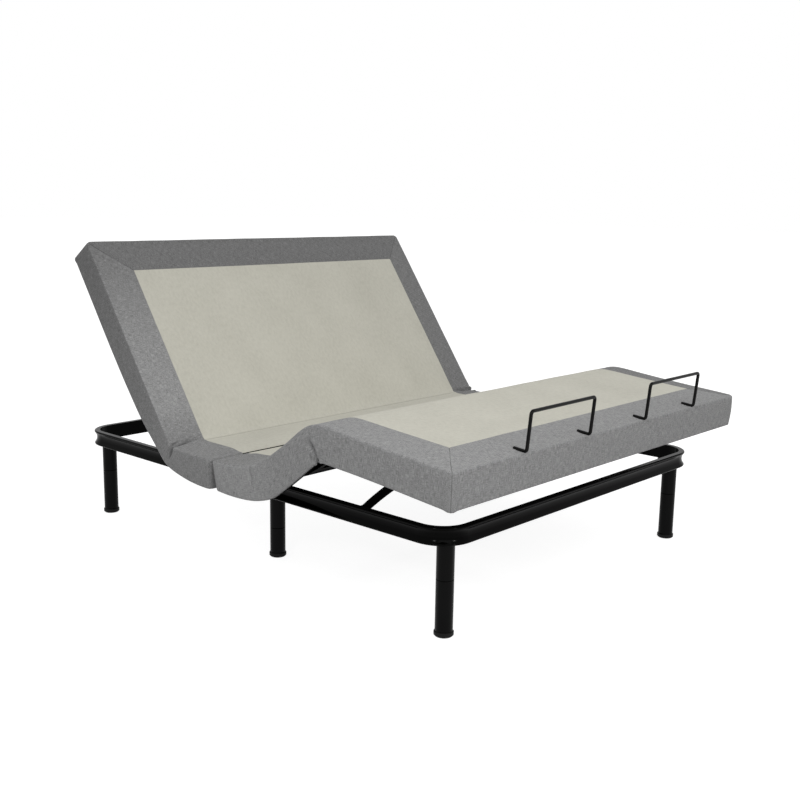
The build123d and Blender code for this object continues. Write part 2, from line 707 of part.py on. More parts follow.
def seat_nodes():
    """The fixed middle of the deck, in two halves, and its tubes."""
    head_face = BACK_HINGE_Y - HINGE_GAP
    foot_face = THIGH_HINGE_Y + HINGE_GAP
    spacer = block(*SPACER_X, *SPACER_Y, RAIL_TOP, HINGE_Z + BOARD_LOW)
    spacers = pair(spacer) + pair(mirror(spacer, about=Plane.XZ))
    pins = pair(hinge_pin(BACK_HINGE_Y)) + pair(hinge_pin(THIGH_HINGE_Y))
    head_skirt = side_skirt(SPLIT_GAP, BACK_HINGE_Y - SKIRT_HINGE_GAP)
    foot_skirt = side_skirt(THIGH_HINGE_Y + SKIRT_HINGE_GAP, -SPLIT_GAP)
    return {
        "seat_cross_tubes": [seat_tube(BACK_HINGE_Y, 1), seat_tube(THIGH_HINGE_Y, -1)],
        "seat_spacers": spacers,
        "hinge_pins": pins,
        "link_posts": pair(link_post()),
        "seat_head_board": [deck_board(SPLIT_GAP, head_face)],
        "seat_foot_board": [deck_board(foot_face, -SPLIT_GAP)],
        "seat_head_pad": [pad(SPLIT_GAP, BACK_HINGE_Y - PAD_HINGE_GAP)],
        "seat_foot_pad": [pad(THIGH_HINGE_Y + PAD_HINGE_GAP, -SPLIT_GAP)],
        "seat_head_skirts": pair(head_skirt),
        "seat_foot_skirts": pair(foot_skirt),
    }


def drive_nodes():
    """Two drives that lie side by side under the seat, one for the back and one for the thighs."""
    head_anchor = THIGH_HINGE_Y + HINGE_GAP + SEAT_TUBE_WIDTH / 2
    foot_anchor = BACK_HINGE_Y - HINGE_GAP - SEAT_TUBE_WIDTH / 2
    head_pin = drive_pin_y(BACK_HINGE_Y, 1, BACK_TRAVEL, BACK_ANGLE)
    foot_pin = drive_pin_y(THIGH_HINGE_Y, -1, THIGH_TRAVEL, THIGH_ANGLE)
    head_start = head_anchor + GEARBOX_START + GEARBOX_LENGTH
    foot_start = foot_anchor - GEARBOX_START - GEARBOX_LENGTH
    head_end = drive_pin_y(BACK_HINGE_Y, 1, BACK_TRAVEL, 0) - SLEEVE_SETBACK
    foot_end = drive_pin_y(THIGH_HINGE_Y, -1, THIGH_TRAVEL, 0) + SLEEVE_SETBACK
    return {
        "head_drive_gearbox": [gearbox(DRIVE_X, head_anchor, 1, 1)],
        "head_drive_sleeve": [sleeve(DRIVE_X, head_start, head_end, 1)],
        "head_drive_rod": drive_rod(DRIVE_X, head_pin, HEAD_ROD_LENGTH, 1),
        "foot_drive_gearbox": [gearbox(-DRIVE_X, foot_anchor, -1, -1)],
        "foot_drive_sleeve": [sleeve(-DRIVE_X, foot_start, foot_end, -1)],
        "foot_drive_rod": drive_rod(-DRIVE_X, foot_pin, FOOT_ROD_LENGTH, -1),
        "drive_anchors": anchor(DRIVE_X, head_anchor) + anchor(-DRIVE_X, foot_anchor),
        "anchor_pins": [anchor_pin(DRIVE_X, head_anchor), anchor_pin(-DRIVE_X, foot_anchor)],
        "control_box": [control_box()],
        "power_inlet": [power_inlet()],
    }


def back_nodes():
    """Back section, raised."""
    end = BACK_HINGE_Y + BACK_LENGTH
    tube_start = BACK_HINGE_Y + HINGE_GAP
    tube = side_tube(tube_start, end - BACK_TUBE_SHORT) + moving_lug(BACK_HINGE_Y, tube_start)
    first = deck_cross_tube(BACK_HINGE_Y + LEVER_WELD)
    second = deck_cross_tube(end - BACK_CROSS_FROM_END - CROSS_TUBE_WIDTH)
    board = deck_board(tube_start, end - SKIRT_THICK - BOARD_END_GAP)
    skirt = side_skirt(BACK_HINGE_Y + SKIRT_HINGE_GAP, end)
    return {
        "back_board": as_back(board),
        "back_pad": as_back(pad(BACK_HINGE_Y + PAD_HINGE_GAP, end)),
        "back_side_skirts": as_back(*pair(skirt)),
        "back_head_skirt": as_back(end_skirt(end, 1)),
        "back_side_tubes": as_back(*pair(tube)),
        "back_cross_tubes": as_back(first, second),
        "back_lever": as_back(*lever(DRIVE_X, BACK_HINGE_Y, 1, BACK_TRAVEL)),
    }


def thigh_nodes():
    """Thigh section, raised."""
    tube_start = THIGH_HINGE_Y - HINGE_GAP
    tube_end = KNEE_Y + KNEE_GAP
    tube = side_tube(tube_start, tube_end) + moving_lug(THIGH_HINGE_Y, tube_start)
    tube += moving_lug(KNEE_Y, tube_end, SIDE_TUBE_X1 - PLATE, PIN_RADIUS)
    cross = deck_cross_tube(THIGH_HINGE_Y - LEVER_WELD - CROSS_TUBE_WIDTH)
    skirt = side_skirt(KNEE_Y + SKIRT_HINGE_GAP, THIGH_HINGE_Y - SKIRT_HINGE_GAP, KNEE_MITRE_LOW, 0)
    knee_x0 = SIDE_TUBE_X1 - 2 * PLATE - LUG_GAP
    knee_pin = pin_across(knee_x0 - PIN_PROUD, SIDE_TUBE_X1 + PIN_PROUD, KNEE_Y, HINGE_Z, PIN_RADIUS)
    return {
        "thigh_board": as_thigh(deck_board(KNEE_Y + KNEE_GAP, THIGH_HINGE_Y - HINGE_GAP)),
        "thigh_pad": as_thigh(pad(KNEE_Y + PAD_KNEE_GAP, THIGH_HINGE_Y - PAD_HINGE_GAP)),
        "thigh_skirts": as_thigh(*pair(skirt)),
        "thigh_side_tubes": as_thigh(*pair(tube)),
        "thigh_cross_tube": as_thigh(cross),
        "thigh_lever": as_thigh(*lever(-DRIVE_X, THIGH_HINGE_Y, -1, THIGH_TRAVEL)),
        "knee_pins": as_thigh(*pair(knee_pin)),
    }


def foot_nodes():
    """Foot section, raised."""
    end = KNEE_Y - FOOT_LENGTH
    tube_start = KNEE_Y - KNEE_GAP
    knee_x0 = SIDE_TUBE_X1 - 2 * PLATE - LUG_GAP
    tube = side_tube(tube_start, end + FOOT_TUBE_SHORT) + moving_lug(KNEE_Y, tube_start, knee_x0)
    tube += link_bracket()
    cross = deck_cross_tube(end + FOOT_CROSS_FROM_END)
    board = deck_board(end + SKIRT_THICK + BOARD_END_GAP, tube_start)
    bar = retainer_bar()
    bars = [mirror(bar, about=Plane.YZ), bar]
    cushion = pad(end, KNEE_Y - PAD_KNEE_GAP)
    for rod in bars:
        cushion -= rod
    skirt = side_skirt(end, KNEE_Y - SKIRT_HINGE_GAP, 0, KNEE_MITRE_LOW)
    return {
        "foot_board": as_foot(board),
        "foot_pad": as_foot(cushion),
        "foot_side_skirts": as_foot(*pair(skirt)),
        "foot_end_skirt": as_foot(end_skirt(end, -1)),
        "foot_side_tubes": as_foot(*pair(tube)),
        "foot_cross_tube": as_foot(cross),
        "retainer_bar_left": as_foot(bars[0]),
        "retainer_bar_right": as_foot(bars[1]),
    }


def link_nodes():
    """The two foot links."""
    right = link_arm()
    return {"link_arm_left": [mirror(right, about=Plane.YZ)], "link_arm_right": [right]}


def main():
    """Builds every node and writes one file for each."""
    nodes = {}
    for group in (base_nodes, seat_nodes, drive_nodes, back_nodes, thigh_nodes, foot_nodes, link_nodes):
        nodes.update(group())
    solids = {name: [s for shape in shapes for s in shape.solids()] for name, shapes in nodes.items()}
    everything = Compound([s for group in solids.values() for s in group])
    reach = everything.bounding_box()
    # The origin stands on the floor under the middle of the whole box.
    to_origin = Pos(0, -reach.center().Y, 0)
    os.makedirs("parts", exist_ok=True)
    for name, group in solids.items():
        moved = [to_origin * s for s in group]
        export_step(moved[0] if len(moved) == 1 else Compound(moved), "parts/" + name + ".step")
    knee_rise = radians(THIGH_ANGLE)
    shift = -reach.center().Y
    knee = (THIGH_HINGE_Y - THIGH_LENGTH * cos(knee_rise), HINGE_Z + THIGH_LENGTH * sin(knee_rise))
    print("box", reach.min, reach.max, "shift", round(shift, 3))
    print("back hinge", BACK_HINGE_Y + shift, HINGE_Z)
    print("thigh hinge", THIGH_HINGE_Y + shift, HINGE_Z)
    print("knee", knee[0] + shift, knee[1])
    print("link base", LINK_BASE_Y + shift, LINK_BASE_Z)


main()
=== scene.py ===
"""Looks of the adjustable bed base: fabric covers, finishes, light and camera."""
import json
import math

import bmesh
import bpy
import numpy as np
from mathutils import Matrix, Vector, noise

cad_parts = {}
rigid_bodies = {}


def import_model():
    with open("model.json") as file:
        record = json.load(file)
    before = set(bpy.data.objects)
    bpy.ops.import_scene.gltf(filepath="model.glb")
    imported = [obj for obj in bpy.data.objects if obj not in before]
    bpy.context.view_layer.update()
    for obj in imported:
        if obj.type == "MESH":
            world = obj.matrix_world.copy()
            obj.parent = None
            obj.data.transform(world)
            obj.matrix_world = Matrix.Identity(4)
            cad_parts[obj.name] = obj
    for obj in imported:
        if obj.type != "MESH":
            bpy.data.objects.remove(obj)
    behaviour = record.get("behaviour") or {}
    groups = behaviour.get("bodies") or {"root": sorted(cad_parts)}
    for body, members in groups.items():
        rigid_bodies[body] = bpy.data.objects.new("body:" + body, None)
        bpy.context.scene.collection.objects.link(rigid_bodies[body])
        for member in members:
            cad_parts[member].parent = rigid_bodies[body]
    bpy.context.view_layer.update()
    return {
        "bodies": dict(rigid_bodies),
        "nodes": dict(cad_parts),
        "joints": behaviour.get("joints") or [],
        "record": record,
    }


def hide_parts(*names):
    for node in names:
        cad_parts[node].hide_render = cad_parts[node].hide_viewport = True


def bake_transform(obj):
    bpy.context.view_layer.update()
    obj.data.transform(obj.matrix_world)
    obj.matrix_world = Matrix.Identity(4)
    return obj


MM = 0.001

# Camera, fitted to the photo
FOCAL_PX = 1061.29
FRAME_PX = 800
SENSOR = 36.0
YAW = math.radians(47.633)
PITCH = math.radians(10.813)
ROLL = math.radians(0.975)
RAIL_CENTRE_Y = 0.052538
CAMERA_PLACE = Vector((-2.6918, -2.5351 + RAIL_CENTRE_Y, 1.1631))

# Upholstery in millimetres, as it lies on a flat deck
HALF_WIDTH = 762.0
INSET = 20.0
GRID_HALF = HALF_WIDTH - INSET
BACK_SEAMS = (-630.0, 643.0)
LEGS_SEAMS = (-619.0, 671.0)
DEPTH = 95.0
SPLIT_DEPTH = 21.0
SKIRT_INSIDE = 740.0
SPLIT_SKIRT_FROM = 700.0
LINING_LEVEL = 18.0
HEAD_BORDER = 124.0
FOOT_BORDER = 131.0
CELL = 14.0
FINE_CELL = 6.0
BORDER_SHARES = (0.0, 0.04, 0.09, 0.2, 0.32, 0.44, 0.56, 0.68, 0.81, 0.94, 1.0)
SEAM_STEP = 6.0
BACK_ROLL = 5.0
LEGS_ROLL = 6.0
SPLIT_ROLL = 9.0
CROWN = 6.5
CROWN_REACH = 130.0
END_CROWN_REACH = 90.0
SPLIT_CROWN_REACH = 40.0
FLAT_REACH = 170.0
RIDGE = 1.2
CORNER_PULL = {-1: 3.0, 1: -8.0}
CORNER_DROP = 4.0
RIPPLE = 0.7 * MM
RIPPLE_LENGTH = 0.11
STITCH = 0.009
SEAM_SINK = 1.0 * MM
FLAT_SHARE = 0.9
ROLL_ANGLES = (22.5, 45.0, 67.5, 90.0)
WALL_SHARES = (0.25, 0.5, 0.75)
WALL_BULGE = 0.8
HEM_TURN = ((0.0, 3.0), (0.6, 0.6), (4.0, 0.0), (15.0, 0.0))
LINING_STEP = 1.0
LINING_LIFT = 2.0
LINING_TOP = 9.0
LINING_SHARES = (0.0, 0.5, 1.0)
SEAM_MARGIN = 1.0
SEAM_SOFTNESS = 2
FAR_FROM_SEAM = 60.0
WALK_POINTS = 4001
BACK_FINE = (-30.0, 35.0)
THIGH_FINE = (-20.0, 25.0)
KNEE_FINE = (-50.0, 30.0)

# Rows of cloth over an edge, counted from the top grid, where each stretch starts
GAP_ROW = 3
WALL_ROW = 3
HEM_ROW = 9
LINING_ROW = 11

# Side outlines of the covers, top edge and bottom edge as (y, z) with the rail centre at y = 0
BACK_TOP = (
    (7, 368), (60, 368), (115, 369), (160, 370), (190, 371.5), (204, 374.5), (213, 381),
    (222, 392), (232, 405), (278, 469), (354, 575), (452, 713), (556, 860), (656.5, 1001),
)
BACK_LOW = (
    (8, 273), (64, 275), (124, 281.5), (176, 292), (208, 301), (226, 308), (238, 314.5),
    (250, 323), (272, 346), (347, 420), (431, 520), (533, 656), (637, 803), (736.5, 944),
)
LEGS_TOP = (
    (2, 367), (-50, 368), (-100, 370.5), (-145, 375.5), (-182, 384), (-214, 397),
    (-250, 416), (-300, 449), (-350, 485), (-394, 519.5), (-420, 536.5), (-445, 547),
    (-472, 552), (-505, 551.5), (-545, 547.5), (-600, 541), (-951, 508),
)
LEGS_LOW = (
    (-20, 277), (-62, 274.5), (-110, 273.5), (-160, 275.5), (-205, 281), (-246, 291),
    (-283, 305), (-326, 334), (-369, 366), (-409, 397), (-434, 417), (-456, 434),
    (-473, 446), (-505, 446.5), (-545, 443.5), (-600, 439.5), (-949, 406),
)

# Knots of the outlines where the cloth creases, is cut in two and goes over the knee
BACK_CREASE_STATION = 6
THIGH_CREASE_STATION = 4
THIGH_CUT_STATION = 7
KNEE_STATION = 12

# Folds as a width and a path of (along, over the edge, depth), counted from the crease or the knee
FELT_FOLD = -14.0
BACK_FOLDS = (
    (3.0, ((FELT_FOLD, -742, 3), (FELT_FOLD, -130, 3), (-6, -90, 1))),
    (5.5, ((-2, -110, 1), (-4, -60, 6), (-11, 0, 16), (-15, 28, 16), (-13, 55, 11), (-11, 80, 3))),
    (4.0, ((10, -40, 0), (2, -15, 4), (-5, 10, 5))),
)
THIGH_FOLDS = (
    (7.0, ((-2, 8, 0.5), (0, 25, 3), (2, 60, 3), (4, 85, 0.5))),
)
KNEE_FOLDS = (
    (6.0, ((-44, 46, 0), (-36, 58, 8), (-14, 88, 12), (-2, 112, 8))),
    (5.0, ((-48, 80, 0), (-36, 88, 6), (-6, 110, 7))),
    (5.0, ((24, 66, 0), (12, 90, 3), (3, 112, 4))),
)
FOLD_RIM = 0.3
FOLD_RIM_AT = 2.2
# Painted shade along the folds: its width as a share of the fold's, the depth that gives full shade, and
# the most shade
FOLD_SHADE_WIDTH = 0.55
FOLD_SHADE_DEPTH = 16
FOLD_SHADE_MOST = 0.8

# Studio: lamps as name, side in metres, watts and place
LAMPS = (
    ("softbox", 2.6, 32.0, (-2.4, -3.2, 2.8)),
    ("left_lamp", 0.32, 14.0, (-3.3, -1.57, 1.9)),
    ("front_lamp", 0.32, 14.0, (-0.82, -3.65, 1.8)),
)
LAMP_AIM = Vector((0.0, 0.0, 0.4))
FLOOR_REACH = 40.0
FLOOR_TONE = 0.4
FLOOR_GLOW = 0.88
SKY_LEVEL = 0.68

# Coated pieces by material slot: tone, roughness, grains to the metre and specular level
COATED = {
    "rail_black": (3, 0.14, 700.0, 0.035),
    "leg_black": (4, 0.25, 700.0, 0.07),
    "frame_black": (4, 0.7, 800.0, 0.015),
    "bar_black": (7, 0.32, 700.0, 0.1),
    "cap_black": (12, 0.6, 900.0, 0.15),
    "case_black": (14, 0.55, 900.0, 0.2),
    "bumper_rubber": (14, 0.8, 900.0, 0.12),
}
LINING = (9, 0.9, 900.0, 0.02)

# Border cloth: yarns and slubs to the metre, and the pitch of its threads in metres
YARN = 950.0
SLUB = 60.0
THREAD = 0.0017

# Tones of the cloths, and how the border drifts along a strip as (metres, share), which is painted light
# and shade
BACK_FELT = 197
LEGS_FELT = 203
# Colour of the painted shade along the felt's crease line
PAINTED_CREASE_SHADE = (118, 116, 106)
# Border tone per strip and wall: partly the nap of the cloth, partly painted light and shade
BACK_LINEN = {
    "left": 152, "left_wall": 138, "end": 117, "end_wall": 118, "right": 124, "right_wall": 120,
}
# Painted light and shade along the left strips of the back
BACK_PAINTED_LIGHT_DRIFT = {
    "left": ((0.0, 0.75), (0.22, 0.79), (0.34, 1.0), (0.6, 0.92), (0.8, 0.75), (1.0, 0.56)),
    "left_wall": ((0.0, 1.0), (0.2, 0.97), (0.34, 0.85), (0.6, 0.78), (0.8, 0.7), (1.0, 0.62)),
}
# Border tone per strip and wall: partly the nap of the cloth, partly painted light and shade
LEGS_LINEN = {
    "left": 147, "left_wall": 153, "end": 147, "end_wall": 145, "right": 124, "right_wall": 124,
}
# Painted light and shade along the left strips of the legs
LEGS_PAINTED_LIGHT_DRIFT = {
    "left": ((0.0, 0.8), (0.1, 0.82), (0.2, 0.95), (0.35, 1.0), (1.1, 1.0)),
    "left_wall": ((0.0, 1.0), (0.18, 1.0), (0.3, 0.89), (0.7, 0.88), (1.1, 0.86)),
}

# Swelling of the covers
SWELL_FRAMES = 20
SWELL_PRESSURE = 4.0
SWELL_CAP = 5.0 * MM
SEAM_HOLD = 0.6
WALL_HOLD = 0.3
LEAST_MOVE = 1e-9
CLOTH = {
    "quality": 5,
    "mass": 0.3,
    "tension_stiffness": 40,
    "compression_stiffness": 40,
    "shear_stiffness": 20,
    "bending_stiffness": 2,
}


def add_camera():
    """The camera of the photo."""
    forward = Vector((math.sin(YAW) * math.cos(PITCH), math.cos(YAW) * math.cos(PITCH), -math.sin(PITCH)))
    level = Vector((math.cos(YAW), -math.sin(YAW), 0.0))
    upright = level.cross(forward)
    right = math.cos(ROLL) * level + math.sin(ROLL) * upright
    up = -math.sin(ROLL) * level + math.cos(ROLL) * upright
    data = bpy.data.cameras.new("camera")
    data.sensor_width = SENSOR
    data.lens = FOCAL_PX / FRAME_PX * SENSOR
    camera = bpy.data.objects.new("camera", data)
    bpy.context.scene.collection.objects.link(camera)
    turn = Matrix((right, up, -forward)).transposed().to_4x4()
    camera.matrix_world = Matrix.Translation(CAMERA_PLACE) @ turn
    bpy.context.scene.camera = camera


# Materials


def linear(red, green, blue):
    """A colour written in screen values from 0 to 255."""
    def one(value):
        value = value / 255
        return value / 12.92 if value <= 0.04045 else ((value + 0.055) / 1.055) ** 2.4
    return (one(red), one(green), one(blue), 1.0)


def grey(level):
    """A grey written as a screen value."""
    return linear(level, level, level)


def even(value):
    """One number in all the channels of a ramp."""
    return (value, value, value, 1.0)


class Finish:
    """A node material that is put together step by step."""

    def __init__(self, name):
        self.material = bpy.data.materials.new(name)
        self.material.use_nodes = True
        self.tree = self.material.node_tree
        self.shader = self.tree.nodes["Principled BSDF"]

    def set(self, **values):
        for name, value in values.items():
            self.shader.inputs[name.replace("_", " ")].default_value = value
        return self

    def add(self, kind, inputs=(), **settings):
        node = self.tree.nodes.new(kind)
        for name, value in settings.items():
            setattr(node, name, value)
        for index, source in inputs:
            if isinstance(source, bpy.types.NodeSocket):
                self.tree.links.new(source, node.inputs[index])
            else:
                node.inputs[index].default_value = source
        return node

    def math(self, operation, first, second=0.0):
        return self.add("ShaderNodeMath", [(0, first), (1, second)], operation=operation).outputs[0]

    def total(self, shares):
        """The sum of some sockets, each times its share."""
        result = None
        for socket, share in shares:
            part = self.math("MULTIPLY", socket, share)
            result = part if result is None else self.math("ADD", result, part)
        return result

    def mix(self, factor, first, second, blend="MIX"):
        inputs = [(0, factor), (6, first), (7, second)]
        return self.add("ShaderNodeMix", inputs, data_type="RGBA", blend_type=blend).outputs[2]

    def fade(self, value, near, far, first, last):
        """Goes from first to last as the value goes from near to far."""
        inputs = [("Value", value), ("From Min", near), ("From Max", far)]
        inputs += [("To Min", first), ("To Max", last)]
        return self.add("ShaderNodeMapRange", inputs).outputs[0]

    def cloth_place(self):
        return self.add("ShaderNodeUVMap", uv_map="weave").outputs[0]

    def solid_place(self):
        return self.add("ShaderNodeTexCoord").outputs["Object"]

    def point_value(self, name):
        return self.add("ShaderNodeAttribute", attribute_name=name).outputs["Fac"]

    def noise(self, place, stretch, detail=2.0, roughness=0.5):
        mapping = self.add("ShaderNodeMapping", [("Vector", place), ("Scale", stretch)])
        inputs = [("Vector", mapping.outputs[0]), ("Scale", 1.0)]
        inputs += [("Detail", detail), ("Roughness", roughness)]
        return self.add("ShaderNodeTexNoise", inputs).outputs[0]

    def ramp(self, factor, stops):
        node = self.add("ShaderNodeValToRGB", [(0, factor)])
        ramp = node.color_ramp
        while len(ramp.elements) < len(stops):
            ramp.elements.new(0.5)
        for element, (position, colour) in zip(ramp.elements, stops):
            element.position = position
            element.color = colour
        return node.outputs[0]

    def colour(self, socket):
        self.tree.links.new(socket, self.shader.inputs["Base Color"])

    def roughness(self, socket):
        self.tree.links.new(socket, self.shader.inputs["Roughness"])

    def bump(self, height, strength, distance):
        inputs = [("Height", height), ("Strength", strength), ("Distance", distance)]
        node = self.add("ShaderNodeBump", inputs)
        self.tree.links.new(node.outputs[0], self.shader.inputs["Normal"])


def linen(name, level, drift=()):
    """Heathered woven border cloth with stitched mitres, painted shade in its folds, and a tone that may
    drift along its strip as painted light and shade.
    """
    finish = Finish(name)
    place = finish.cloth_place()
    across = finish.noise(place, (YARN, SLUB, 1.0), 3.0, 0.6)
    along = finish.noise(place, (SLUB, YARN, 1.0), 2.0, 0.55)
    cloud = finish.noise(place, (45.0, 28.0, 1.0), 2.0, 0.5)
    mixed = finish.total(((across, 0.54), (along, 0.4), (cloud, 0.06)))
    colour = finish.ramp(mixed, [(0.34, grey(level * 0.66)), (0.5, grey(level)), (0.67, grey(level * 1.3))])
    parts = finish.add("ShaderNodeSeparateXYZ", [(0, place)])
    near = finish.fade(finish.point_value("seam"), 0.7, 1.7, 1.0, 0.0)
    run = finish.math("ADD", parts.outputs[0], parts.outputs[1])
    wave = finish.math("SINE", finish.math("MULTIPLY", run, 2 * math.pi / STITCH))
    stitch = finish.fade(wave, -0.6, 0.2, 0.45, 1.0)
    colour = finish.mix(finish.math("MULTIPLY", near, stitch), colour, grey(level * 0.62))
    # Painted light and shade: the tone drifts along the strip
    if drift:
        reach = drift[-1][0]
        share = finish.math("DIVIDE", parts.outputs[0], reach)
        stops = [(at / reach, even(value)) for at, value in drift]
        colour = finish.mix(1.0, colour, finish.ramp(share, stops), "MULTIPLY")
    # Painted shade in the folds of the cover, darkening the cloth
    finish.colour(finish.mix(finish.point_value("painted_fold_shade"), colour, grey(level * 0.3)))
    thread = 2 * math.pi / THREAD
    warp = finish.math("SINE", finish.math("MULTIPLY", parts.outputs[0], thread))
    weft = finish.math("SINE", finish.math("MULTIPLY", parts.outputs[1], thread))
    weave = finish.math("MULTIPLY", warp, weft)
    finish.bump(finish.total(((weave, 0.5), (across, 1.2))), 0.55, 0.0007)
    finish.set(Roughness=0.94, Sheen_Weight=0.12, Sheen_Roughness=0.5, Specular_IOR_Level=0.15)
    return finish.material


def felt(name, tone, crease=None):
    """Pale non-slip felt of the mattress field, with a line of painted shade where it folds."""
    finish = Finish(name)
    place = finish.cloth_place()
    fibre = finish.noise(place, (420.0, 420.0, 1.0), 4.0, 0.65)
    drift = finish.noise(place, (95.0, 60.0, 1.0), 3.0, 0.6)
    cloud = finish.noise(place, (6.0, 5.0, 1.0), 2.0, 0.5)
    mixed = finish.total(((fibre, 0.4), (drift, 0.35), (cloud, 0.25)))
    dark = linear(tone * 0.93, tone * 0.92, tone * 0.86)
    middle = linear(tone, tone * 0.99, tone * 0.93)
    light = linear(tone * 1.05, tone * 1.04, tone * 0.98)
    colour = finish.ramp(mixed, [(0.32, dark), (0.5, middle), (0.68, light)])
    # Painted shade along the crease line
    if crease:
        along = finish.add("ShaderNodeSeparateXYZ", [(0, place)]).outputs[1]
        away = finish.math("ABSOLUTE", finish.math("SUBTRACT", along, crease * MM))
        colour = finish.mix(finish.fade(away, 0.001, 0.004, 0.3, 0.0), colour, linear(*PAINTED_CREASE_SHADE))
    finish.colour(colour)
    height = finish.math("ADD", fibre, finish.math("MULTIPLY", drift, 0.6))
    finish.bump(height, 0.4, 0.0008)
    finish.set(Roughness=0.96, Sheen_Weight=0.08, Specular_IOR_Level=0.12)
    return finish.material


def coated(name, level, gloss, grain, specular):
    """Black coated steel or moulded plastic, with a fine grain."""
    finish = Finish(name)
    place = finish.solid_place()
    fine = finish.noise(place, (grain, grain, grain), 2.0, 0.5)
    broad = finish.noise(place, (9.0, 9.0, 9.0), 3.0, 0.6)
    dark = linear(level * 0.7, level * 0.7, level * 0.66)
    light = linear(level * 1.4, level * 1.4, level * 1.34)
    finish.colour(finish.ramp(broad, [(0.3, dark), (0.7, light)]))
    finish.roughness(finish.ramp(broad, [(0.3, even(gloss * 0.8)), (0.7, even(gloss * 1.25))]))
    finish.bump(fine, 0.1, 0.0002)
    finish.set(Specular_IOR_Level=specular)
    return finish.material


def plywood(name):
    """Black-faced sheet wood, with a faint grain that runs across the bed."""
    finish = Finish(name)
    place = finish.solid_place()
    grain = finish.noise(place, (6.0, 90.0, 90.0), 4.0, 0.6)
    pores = finish.noise(place, (25.0, 700.0, 700.0), 2.0, 0.5)
    mixed = finish.total(((grain, 0.7), (pores, 0.3)))
    dark = linear(14, 13, 12)
    middle = linear(19, 18, 17)
    light = linear(26, 24, 22)
    finish.colour(finish.ramp(mixed, [(0.35, dark), (0.5, middle), (0.66, light)]))
    finish.bump(pores, 0.3, 0.0004)
    finish.set(Roughness=0.7, Specular_IOR_Level=0.3)
    return finish.material


def steel(name):
    """Zinc-plated steel, lightly brushed."""
    finish = Finish(name)
    place = finish.solid_place()
    brush = finish.noise(place, (40.0, 500.0, 500.0), 3.0, 0.6)
    dark = linear(150, 150, 152)
    light = linear(192, 192, 190)
    finish.colour(finish.ramp(brush, [(0.3, dark), (0.7, light)]))
    finish.roughness(finish.ramp(brush, [(0.3, even(0.28)), (0.7, even(0.42))]))
    finish.bump(brush, 0.15, 0.0002)
    finish.set(Metallic=1.0)
    return finish.material


# Shape of the covers


def smooth_line(knots, values, at):
    """Points of a smooth curve that runs through the values at the knots."""
    step = np.diff(knots)
    slope = np.diff(values, axis=0) / step[:, None]
    tangent = np.empty_like(values)
    tangent[0] = slope[0]
    tangent[-1] = slope[-1]
    weight = (step[:-1] + step[1:])[:, None]
    tangent[1:-1] = (slope[:-1] * step[1:, None] + slope[1:] * step[:-1, None]) / weight
    index = np.clip(np.searchsorted(knots, at) - 1, 0, len(step) - 1)
    span = step[index][:, None]
    t = (at - knots[index])[:, None] / span
    start = values[index] * (2 * t**3 - 3 * t**2 + 1) + tangent[index] * span * (t**3 - 2 * t**2 + t)
    end = values[index + 1] * (3 * t**2 - 2 * t**3) + tangent[index + 1] * span * (t**3 - t**2)
    return start + end


class Outline:
    """The side outline of a cover, which carries a flat piece of cloth onto the raised deck."""

    def __init__(self, top, low):
        self.top = np.array(top, float)
        self.low = np.array(low, float)
        step = np.hypot(*np.diff(self.top, axis=0).T)
        self.knots = np.concatenate([[0.0], np.cumsum(step)])
        self.length = self.knots[-1]
        self.backwards = self.top[-1, 0] < self.top[0, 0]

    def place(self, deck):
        """Metres in the shared frame of points (across, along, down) in millimetres on the flat deck."""
        top = smooth_line(self.knots, self.top, deck[:, 1])
        low = smooth_line(self.knots, self.low, deck[:, 1])
        side = top + (low - top) * (deck[:, 2] / DEPTH)[:, None]
        points = np.column_stack([deck[:, 0], side]) * MM
        points[:, 1] += RAIL_CENTRE_Y
        return points


def graded_lines(start, end, fine=()):
    """Places from start to end, both kept, closer together in the fine stretches."""
    walk = np.linspace(start, end, WALK_POINTS)
    size = np.full_like(walk, CELL)
    for low, high in fine:
        size[(walk > low) & (walk < high)] = FINE_CELL
    load = np.concatenate([[0.0], np.cumsum(np.diff(walk) / size[1:])])
    count = max(1, round(load[-1]))
    return list(np.interp(np.linspace(0, load[-1], count + 1), load, walk))


def across_lines(seams):
    """Grid places across the bed, with lines on both seams."""
    left, right = seams
    outer_left = [-GRID_HALF + (left + GRID_HALF) * share for share in BORDER_SHARES]
    outer_right = [GRID_HALF - (GRID_HALF - right) * share for share in reversed(BORDER_SHARES)]
    field = graded_lines(left + SEAM_STEP, right - SEAM_STEP)
    return np.array(outer_left + field + outer_right)


def along_lines(length, border, fine):
    """Grid places along the bed, with a line on the seam at the far end."""
    end = [length - INSET - (border - INSET) * share for share in reversed(BORDER_SHARES)]
    field = [INSET, INSET + SEAM_STEP]
    field += graded_lines(INSET + 2 * SEAM_STEP, end[0] - SEAM_STEP, fine)
    return np.array(field + end)


def ring_rows(roll, depth):
    """Steps (outwards, downwards) of the cloth from the top grid over the edge to the lining."""
    rows = [(INSET - roll, -RIDGE / 2)]
    for angle in ROLL_ANGLES:
        turn = math.radians(angle)
        out = INSET - roll + roll * math.sin(turn)
        rows.append((out, roll * (1 - math.cos(turn)) - RIDGE * math.cos(turn)))
    wall = depth - HEM_TURN[0][1] - roll
    for share in WALL_SHARES:
        rows.append((INSET + WALL_BULGE * math.sin(math.pi * share), roll + wall * share))
    for inwards, above in HEM_TURN:
        rows.append((INSET - inwards, depth - above))
    inner = SKIRT_INSIDE - GRID_HALF
    rows.append((inner + LINING_STEP, depth - LINING_LIFT))
    top = max(depth - LINING_TOP, LINING_LEVEL)
    for share in LINING_SHARES:
        rows.append((inner, top + (LINING_LEVEL - top) * share))
    return rows


def pulled_corner(out, down, pull):
    """A hem corner hangs to a point, drawn out or in."""
    share = max(0.0, down / DEPTH - 0.5) * 2
    return out + pull * share, down + CORNER_DROP * share


def bulge(share):
    """Rises from 0 at an edge to 1 at the end of its reach, where it is level."""
    return 1 - (1 - np.clip(share, 0, 1)) ** 2


